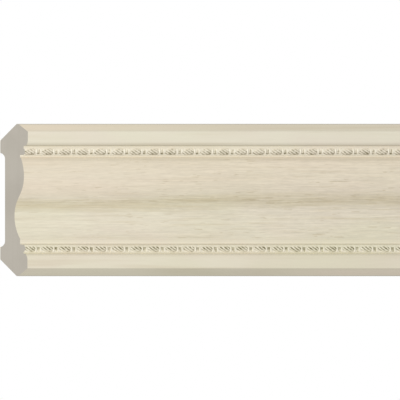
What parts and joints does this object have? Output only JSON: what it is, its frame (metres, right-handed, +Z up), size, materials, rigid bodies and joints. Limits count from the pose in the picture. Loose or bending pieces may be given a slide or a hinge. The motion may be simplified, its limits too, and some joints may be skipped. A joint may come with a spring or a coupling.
{
  "type": "cornice moulding length",
  "caption": "Crown cornice moulding length, an ogee field between rows of bead and reel, that leans at 45 degrees between wall and ceiling on two flat gluing seats.",
  "frame": {"origin": "middle of the flat seat that is glued to the wall, at half the length", "axes": "+X along the length towards the square end, +Y into the wall, +Z up to the ceiling; the face looks forwards and down at 45 degrees"},
  "size_m": [0.332, 0.091, 0.0907],
  "materials": {
    "printed_face": "satin cream printed skin with faint lengthwise wood grain over warm grey plastic foam, which is bare on the cut ends and the back"
  },
  "bodies": {
    "root": {"cornice_length": "printed_face"}
  },
  "joints": []
}
